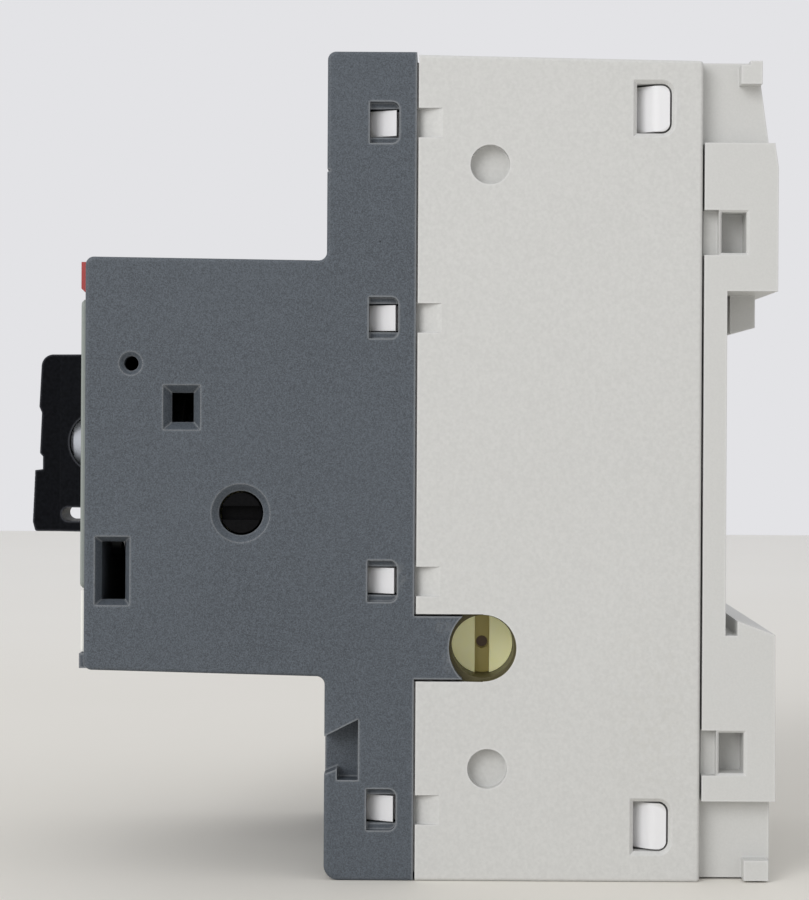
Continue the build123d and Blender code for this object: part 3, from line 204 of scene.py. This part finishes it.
def moulded(name, colour, rough=0.5, grain=0.22 * mm, depth=0.01 * mm, contrast=0.12, dirt=0.0, seed=0.0,
            marks=(), shine=0.3, edge_highlight=None):
    """Moulded plastic: eroded grain, faint clouds from the melt, specks of dust, edges just rounded.

    The marks are spots. A piece given a share and a colour for its corners gets a painted highlight along
    them.
    """
    cloud_size, patch_size = 16 * mm, 0.8 * mm
    speck_spacing, speck_strength, speck_tone = 9 * mm, 0.75, 0.12
    grain_tone, grain_gloss = 2.3, 0.2
    highlight_width, corner_radius = 0.45 * mm, 0.12 * mm
    finish = Finish(name, IOR=1.5, Specular_IOR_Level=shine)
    fine = finish.noise(grain, 3.0, seed=seed)
    clouds = finish.noise(cloud_size, 4.0, seed=seed + 1)
    tone = finish.mix(clouds, toned(colour, 1 - contrast / 3), toned(colour, 1 + contrast / 3))
    tone = finish.mix(finish.ramp(fine, 0.35, 0.65) * contrast, tone, toned(colour, grain_tone))
    # Painted highlight: the corners are lightened where light would catch them.
    if edge_highlight:
        share, pale = edge_highlight
        tone = finish.mix(finish.edges(highlight_width) * share, tone, pale)
    if dirt:
        dust = finish.specks(speck_spacing, dirt, seed + 3.3)
        tone = finish.mix(dust * speck_strength, tone, toned(colour, speck_tone))
    patchy = finish.ramp(finish.noise(patch_size, 5.0, seed=seed + 2), 0.4, 0.62)
    for point, radius, edge, mark_colour, share, along in marks:
        strength = finish.near(point, radius, edge, along) * (1 if share == 1 else patchy * share)
        tone = finish.mix(strength, tone, mark_colour)
    finish.set(Base_Color=tone, Roughness=rough + (fine - 0.5) * grain_gloss)
    finish.relief(fine, depth, corner_radius)
    return finish


slate = shown(65, 70, 76)
rubbed = shown(132, 134, 136)
cover_edge_highlight = shown(168, 171, 174)
side_face = 22.5                        # of the casing, in millimetres
scuffs = [spot((side_face, -36.4, -12.0), 0.4, 1.6, rubbed, 0.5),
          spot((side_face, -30.8, -17.4), 0.1, 1.0, rubbed, 0.45),
          spot((side_face, -30.4, -21.0), 0.1, 0.6, rubbed, 0.45, (1, 1, 0.4))]
# The pale colour along the cover's corners is painted highlight.
moulded("cover plastic", slate, rough=0.52, grain=0.12 * mm, contrast=0.8, dirt=0.1 * mm, seed=1.0,
        marks=scuffs, edge_highlight=(0.5, cover_edge_highlight)).coat("front_cover")


# ------------------------------------------------------------------ main housing
# The light grey lower shell: a deep box with barriers between the poles and a smooth, slightly
# clouded skin. Its snap noses show through the windows of the cover, with painted highlights on them,
# and painted highlight runs along its corners. The well of the switch coupler is darkened by painted shade.

warm_grey = shown(199, 199, 197)
pale_edge_highlight = shown(226, 226, 226)
coupler_axis = (-26.5, -19.7)           # in y and z
# Painted shade: the coupler's well is darkened and tinted olive, as its wall lies in shadow.
well_painted_shade = spot((18.6, *coupler_axis), 5.28, 0.06, shown(92, 86, 58))
fingerprint = spot((side_face, -8.0, -27.0), 2.0, 6.0, shown(176, 172, 160), 0.1, (1, 1, 0.5))
nose_heights = (37.4, 16.1, -12.5, -37.4)
both_sides = (0, 1, 1)
# Painted highlights: the snap noses are lightened where their slanted faces would catch the light.
nose_highlights = [spot((0, -37.2, height), 1.7, 0.4, shown(226, 226, 228), along=both_sides) for height in nose_heights]
# The pale colour along the housing's corners is painted highlight.
moulded("housing plastic", warm_grey, rough=0.46, grain=0.35 * mm, depth=0.005 * mm, contrast=0.06,
        dirt=0.12 * mm, seed=4.0, marks=[well_painted_shade, fingerprint, *nose_highlights],
        edge_highlight=(0.4, pale_edge_highlight)).coat("main_housing")


# ------------------------------------------------------------------ rail base
# The back plate with its two rail hooks and hollow feet, in a slightly whiter plastic, and the bow of
# spring strip in its rail groove. Like the coil springs, the bow is bright drawn steel.

# Painted highlights: the base's snap noses and its corners are lightened where light would catch them.
base_nose_heights = (39.0, -39.2)
base_nose_highlights = [spot((0, -8.3, height), 2.4, 0.4, shown(228, 228, 230), along=both_sides)
              for height in base_nose_heights]
moulded("base plastic", shown(201, 201, 199), rough=0.42, depth=0.004 * mm, contrast=0.03,
        seed=7.0, marks=base_nose_highlights, edge_highlight=(0.4, pale_edge_highlight)).coat("rear_mounting_base")


def rolled(name, colour, rough=0.32, streak=(1, 1, 14), seed=0.0, patina=0.15):
    """Rolled or drawn metal: fine streaks along the work, and a thin uneven patina."""
    streak_width, cloud_size, patina_tone = 0.5 * mm, 3 * mm, 0.45
    streak_gloss, cloud_gloss = 0.25, 0.1
    streak_depth, corner_radius = 0.004 * mm, 0.08 * mm
    finish = Finish(name, Metallic=1.0)
    lines = finish.noise(streak_width, 3.0, stretch=streak, seed=seed)
    cloud = finish.noise(cloud_size, 4.0, seed=seed + 1)
    tone = finish.mix(finish.ramp(cloud, 0.35, 0.7) * patina, colour, toned(colour, patina_tone))
    finish.set(Base_Color=tone, Roughness=rough + (lines - 0.5) * streak_gloss + cloud * cloud_gloss)
    finish.relief(lines, streak_depth, corner_radius)
    return finish


spring_steel = rolled("spring steel", shown(205, 205, 208), rough=0.25, streak=(1, 1, 1), seed=9.0)
spring_steel.coat("rail_spring", "test_spring", "latch_spring", "opening_spring", "contact_springs",
                  "plunger_spring_1", "plunger_spring_2", "plunger_spring_3")


# ------------------------------------------------------------------ spring twins
# Hard-drawn wire coils behind the test button, the latch and the magnet plungers, and the bow strip in the
# rail groove. Each is swapped for a twin of its mesh that the casing carries.

def squeezed(node, axis):
    """A twin of a spring, carried by the casing, in place of the CAD piece."""
    axis = Vector(axis)
    twin = bpy.data.objects.new(node + "_twin", nodes[node].data.copy())
    bpy.context.scene.collection.objects.link(twin)
    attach(twin, "casing")
    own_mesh(twin)
    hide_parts(node)


poles = (1, 2, 3)
inward, upright = (0, 1, 0), (0, 0, 1)
squeezed("test_spring", inward)
squeezed("latch_spring", upright)
squeezed("rail_spring", upright)
for pole in poles:
    squeezed(f"plunger_spring_{pole}", upright)


# ------------------------------------------------------------------ plates on the front
# A smooth grey front plate around the knob, a bare red plate above it, and a white
# marker plate below it. All three are snapped or stuck on the cover's front face.

moulded("front plate plastic", shown(140, 146, 142), rough=0.4, depth=0.003 * mm, contrast=0.04,
        seed=11.0).coat("front_plate")
red = Finish("red plate", IOR=1.5, Coat_Weight=0.4, Coat_Roughness=0.2)
red_cloud = red.noise(2 * mm, 3.0, seed=12.0)
red_skin = red.mix(red_cloud, shown(158, 44, 42), shown(176, 58, 54))
red.set(Base_Color=red_skin, Roughness=0.35 + red_cloud * 0.1)
red.relief(red_cloud, 0.004 * mm, 0.1 * mm)
red.coat("red_badge")
moulded("marker plastic", shown(232, 232, 226), rough=0.4, depth=0.003 * mm, contrast=0.02,
        seed=13.0).coat("marker_plate")


# ------------------------------------------------------------------ printing on the front
# Thin pad-printed marks: ON and OFF with an arc between them, the scale of the dial, the word over the
# test button, the pole numbers beside the terminal screws, and the white line on the knob.

ink = moulded("printing ink", shown(236, 236, 232), rough=0.5, depth=0.001 * mm, contrast=0.04, seed=14.0)


def printed(name, curve, place, body="casing", lean=0.0):
    """Lays a flat curve, drawn in x and z about a place, on a front face that leans back by an angle."""
    curve.extrude = 0.02 * mm
    curve.materials.append(ink.material)
    mark = bpy.data.objects.new(name, curve)
    mark.location = place
    mark.rotation_euler = (radians(90) - lean, 0, 0)
    bpy.context.scene.collection.objects.link(mark)
    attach(mark, body)


def lettered(name, words, place, size):
    """A printed word or number, centred on its place."""
    text = bpy.data.curves.new(name, "FONT")
    text.body = words
    text.size = size
    text.align_x = "CENTER"
    text.align_y = "CENTER"
    printed(name, text, place)


def around(radius, start, stop, count):
    """Points on an arc, with its angles in degrees clockwise from straight up."""
    angles = [radians(start + (stop - start) * step / (count - 1)) for step in range(count)]
    return [Vector((radius * sin(angle), radius * cos(angle))) for angle in angles]


def stroked(name, rows, place, stroke, **more):
    """Printed strokes of one width, each through a row of points."""
    lines = bpy.data.curves.new(name, "CURVE")
    lines.dimensions = "2D"
    lines.fill_mode = "BOTH"
    for row in rows:
        halves = []
        for index, point in enumerate(row):
            way = row[min(index + 1, len(row) - 1)] - row[max(index - 1, 0)]
            halves.append(way.orthogonal().normalized() * stroke / 2)
        outline = [point + half for point, half in zip(row, halves)]
        outline += [point - half for point, half in reversed(list(zip(row, halves)))]
        path = lines.splines.new("POLY")
        path.points.add(len(outline) - 1)
        for point, corner in zip(path.points, outline):
            point.co = (*corner, 0, 1)
        path.use_cyclic_u = True
    printed(name, lines, place, **more)


def middle(node):
    """The middle of a CAD piece's box."""
    low_corner, high_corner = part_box(node)
    return (low_corner + high_corner) / 2


plate_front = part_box("front_plate")[0].y
knob_centre = Vector((0, plate_front, 2.4 * mm))
on_above, off_beside, switch_text = 13.2 * mm, 15.6 * mm, 2.3 * mm
arc_radius, arc_stroke, arc_points = 11.6 * mm, 0.3 * mm, 17
arc_at_on, arc_at_off = -13, -77
lettered("print_on", "ON", knob_centre + Vector((0, 0, on_above)), switch_text)
lettered("print_off", "OFF", knob_centre + Vector((-off_beside, 0, 0)), switch_text)
stroked("print_turn_arc", [around(arc_radius, arc_at_on, arc_at_off, arc_points)], knob_centre, arc_stroke)

dial_centre = middle("setting_dial")
dial_centre.y = plate_front
scale_start, scale_end, tick_count = -90, 90, 7
tick_from, tick_to, tick_stroke = 4.1, 4.7, 0.22 * mm
scale_words, scale_radius, scale_text = ("1", "1.2", "1.4", "1.6"), 5.9 * mm, 1.5 * mm
ticks = [[point * tick_from * mm, point * tick_to * mm]
         for point in around(1, scale_start, scale_end, tick_count)]
stroked("print_dial_ticks", ticks, dial_centre, tick_stroke)
for words, point in zip(scale_words, around(scale_radius, scale_start, scale_end, len(scale_words))):
    place = dial_centre + Vector((point.x, 0, point.y))
    lettered("print_dial_" + words.replace(".", "_"), words, place, scale_text)

test_centre = middle("test_plunger")
test_above, test_text = 3.7 * mm, 1.6 * mm
lettered("print_test", "TEST", (test_centre.x, plate_front, test_centre.z + test_above), test_text)

cover_face, number_height, number_text = -43.7 * mm, 41.6 * mm, 2.4 * mm
for side, height, numbers in (("line", number_height, "135"), ("load", -number_height, "246")):
    for pole, number in zip(poles, numbers):
        place = (middle(f"{side}_screw_{pole}").x, cover_face, height)
        lettered(f"print_pole_{number}", number, place, number_text)

pointer_middle = (0, -77.88 * mm, 9.0 * mm)
pointer_half, pointer_width = Vector((0, 1.9 * mm)), 1.0 * mm
knob_lean = 0.049                       # of its front face, in radians
stroked("print_pointer", [[-pointer_half, pointer_half]], pointer_middle, pointer_width,
        body="knob", lean=knob_lean)


# ------------------------------------------------------------------ knob and shaft
# The knob is black polyamide with a grooved thumb pad, and painted highlight along its corners. The shaft
# that it sits on is pale nylon, and turns in the cover behind it.

# The pale grey along the knob's corners is painted highlight, standing for glints on its glossy edges.
moulded("knob plastic", shown(14, 15, 18), rough=0.36, grain=0.4 * mm, depth=0.006 * mm, contrast=0.5,
        seed=15.0, shine=0.02, edge_highlight=(0.3, shown(120, 122, 130))).coat("rotary_knob")
moulded("shaft nylon", shown(196, 199, 208), rough=0.35, depth=0.002 * mm, contrast=0.02,
        seed=16.0).coat("knob_shaft")


# ------------------------------------------------------------------ dial and test button
# The current dial is a cream disc with a screwdriver slot. The test button is a small black plunger
# whose end is painted red.

moulded("dial plastic", shown(214, 210, 196), rough=0.4, depth=0.003 * mm, contrast=0.03,
        seed=18.0).coat("setting_dial")
red_end = spot((0, -70.2, 0), 0.9, 0.1, shown(170, 40, 34), along=(0, 1, 0))
moulded("test plastic", shown(20, 20, 21), rough=0.35, depth=0.003 * mm, contrast=0.05, seed=19.0,
        marks=[red_end]).coat("test_plunger")


# ------------------------------------------------------------------ side couplings
# The trip bar is black, and its slotted end shows in the cover's side. The switch coupler is a stub of
# cream nylon at the bottom of its round opening. It is a little translucent and has a faint painted glow,
# and painted shade darkens it in its slot, around a small dark brown spot at its pin.

moulded("trip bar plastic", shown(14, 14, 15), rough=0.45, contrast=0.4, seed=21.0,
        shine=0.03).coat("trip_bar", "contact_carrier")
cream = Finish("coupler nylon", IOR=1.5, Subsurface_Weight=0.25,
               Subsurface_Radius=(0.6 * mm, 0.5 * mm, 0.3 * mm))
cream_cloud = cream.noise(1.6 * mm, 3.0, seed=22.0)
cream_skin = cream.mix(cream_cloud, shown(244, 241, 178), shown(250, 247, 200))
# Painted shade: the coupler is darkened olive-brown deeper than its face, in its slot.
slot_painted_shade = spot((13.4, 0, 0), 2.4, 0.2, shown(160, 148, 84), along=(1, 0, 0))
pin = spot((14.4, *coupler_axis), 0.7, 0.1, shown(74, 52, 24))
for point, radius, edge, mark_colour, share, along in (slot_painted_shade, pin):
    cream_skin = cream.mix(cream.near(point, radius, edge, along), cream_skin, mark_colour)
# A painted glow: the coupler's emission lightens it in its shaded well.
painted_glow = 0.15
cream.set(Base_Color=cream_skin, Roughness=0.35 + cream_cloud * 0.1, Emission_Color=cream_skin,
          Emission_Strength=painted_glow)
cream.relief(cream_cloud, 0.006 * mm, 0.15 * mm)
cream.coat("switch_coupler")


# ------------------------------------------------------------------ terminals
# Zinc-plated cross-slotted screws in square steel cages, and copper bars behind them.

zinc = rolled("zinc plate", shown(196, 196, 192), rough=0.3, streak=(1, 8, 1), seed=24.0, patina=0.25)
for pole in poles:
    zinc.coat(f"line_screw_{pole}", f"load_screw_{pole}", f"line_cage_{pole}", f"load_cage_{pole}")
copper = rolled("rolled copper", shown(196, 122, 84), rough=0.3, streak=(1, 8, 1), seed=26.0, patina=0.5)
copper.coat("line_contact_bars", "inner_contact_bars", "load_bars",
            *[f"moving_contact_{pole}" for pole in poles])


# ------------------------------------------------------------------ mechanism and releases
# Inside the casing: the plated steel mechanism, the magnet and bimetal releases of each pole, and the
# stacks of blackened steel plates that split the arc.

plated = rolled("yellow zinc", shown(190, 180, 140), rough=0.35, seed=28.0, patina=0.3)
plated.coat("mechanism_frame", "mechanism_pins", "toggle_lever", "latch_lever", "magnet_yokes",
            *[f"magnet_plunger_{pole}" for pole in poles])
rolled("splitter steel", shown(120, 118, 114), rough=0.45, seed=30.0, patina=0.5).coat("arc_chutes")
wire = rolled("enamelled wire", shown(150, 78, 38), rough=0.3, seed=32.0, patina=0.3)
strip = rolled("bimetal strip", shown(170, 160, 146), rough=0.4, seed=34.0)
ribbon = rolled("heater ribbon", shown(110, 100, 96), rough=0.5, seed=36.0, patina=0.6)
for pole in poles:
    wire.coat(f"magnet_coil_{pole}")
    strip.coat(f"bimetal_{pole}")
    ribbon.coat(f"heater_{pole}")
inner = moulded("inner plastic", shown(196, 182, 148), rough=0.5, contrast=0.05, seed=38.0)
inner.coat("trip_slider", "compensator_lever")


# ------------------------------------------------------------------ floor, light and camera
# A cream table top whose far edge stands against a pale wall, with painted shadow that darkens it towards
# the part, two large soft lamps, and a long lens that looks at the right-hand side.

floor_height = cad_box[0][2]
table = bmesh.new()
far_edge, near_edge, reach = -0.75, 1.4, 1.8
corners = [(far_edge, -reach), (near_edge, -reach), (near_edge, reach), (far_edge, reach)]
table.faces.new([table.verts.new((x, y, floor_height)) for x, y in corners])
table_mesh = bpy.data.meshes.new("table_top")
table.to_mesh(table_mesh)
table_top = bpy.data.objects.new("table_top", table_mesh)
bpy.context.scene.collection.objects.link(table_top)
table_paint = Finish("table paint", IOR=1.45, Specular_IOR_Level=0.2)
table_cloud = table_paint.noise(120 * mm, 4.0, seed=40.0)
table_far = table_paint.mix(table_cloud, shown(240, 238, 234), shown(246, 244, 241))
table_painted_shadow = table_paint.mix(table_cloud, shown(229, 225, 217), shown(236, 233, 227))
# Painted shadow: the table is darker towards the part.
shadow_radius, shadow_fade = 60 * mm, 420 * mm
painted_shadow_share = table_paint.near((0, 0, floor_height), shadow_radius, shadow_fade)
table_paint.set(Base_Color=table_paint.mix(painted_shadow_share, table_far, table_painted_shadow), Roughness=0.6)
table_mesh.materials.append(table_paint.material)

world = bpy.data.worlds.new("pale room")
bpy.context.scene.world = world
world.use_nodes = True
air = world.node_tree
room_light = air.nodes["Background"]
room_light.inputs["Color"].default_value = (1.0, 1.0, 1.0, 1)
room_light.inputs["Strength"].default_value = 0.6
wall = air.nodes.new("ShaderNodeBackground")
wall.inputs["Color"].default_value = shown(227, 227, 230)
rays = air.nodes.new("ShaderNodeLightPath")
wall_seen = rays.outputs["Is Camera Ray"]
for ray in ("Is Glossy Ray", "Is Transmission Ray"):
    larger = air.nodes.new("ShaderNodeMath")
    larger.operation = "MAXIMUM"
    air.links.new(wall_seen, larger.inputs[0])
    air.links.new(rays.outputs[ray], larger.inputs[1])
    wall_seen = larger.outputs[0]
either = air.nodes.new("ShaderNodeMixShader")
air.links.new(wall_seen, either.inputs[0])
air.links.new(room_light.outputs[0], either.inputs[1])
air.links.new(wall.outputs[0], either.inputs[2])
air.links.new(either.outputs[0], air.nodes["World Output"].inputs["Surface"])


def lamp(name, place, size, power, tint):
    """A square soft lamp that shines at the middle of the part."""
    middle_of_part = Vector((0, -0.03, 0))
    light = bpy.data.lights.new(name, "AREA")
    light.size = size
    light.energy = power
    light.color = tint
    holder = bpy.data.objects.new(name, light)
    holder.location = place
    holder.rotation_euler = (Vector(place) - middle_of_part).to_track_quat("Z", "Y").to_euler()
    bpy.context.scene.collection.objects.link(holder)


lamp("window", place=(1.25, -0.9, 0.72), size=0.95, power=13.0, tint=(1.0, 1.0, 1.0))
lamp("ceiling", place=(0.3, 0.1, 1.4), size=2.4, power=3.0, tint=(0.95, 0.97, 1.0))

near_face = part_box("front_cover")[1].x
lens_distance, lens_place, lens_height, roll = 0.260, -31.7 * mm, 5.45 * mm, -0.32
camera = bpy.data.cameras.new("camera")
camera.lens = 95.85
camera.shift_x = -0.0355
camera.shift_y = -0.0376
camera.clip_end = 10
viewer = bpy.data.objects.new("camera", camera)
viewer.location = (near_face + lens_distance, lens_place, lens_height)
viewer.rotation_euler = (radians(90), radians(roll), radians(90))
bpy.context.scene.collection.objects.link(viewer)
bpy.context.scene.camera = viewer
bpy.context.scene.view_settings.view_transform = "Standard"
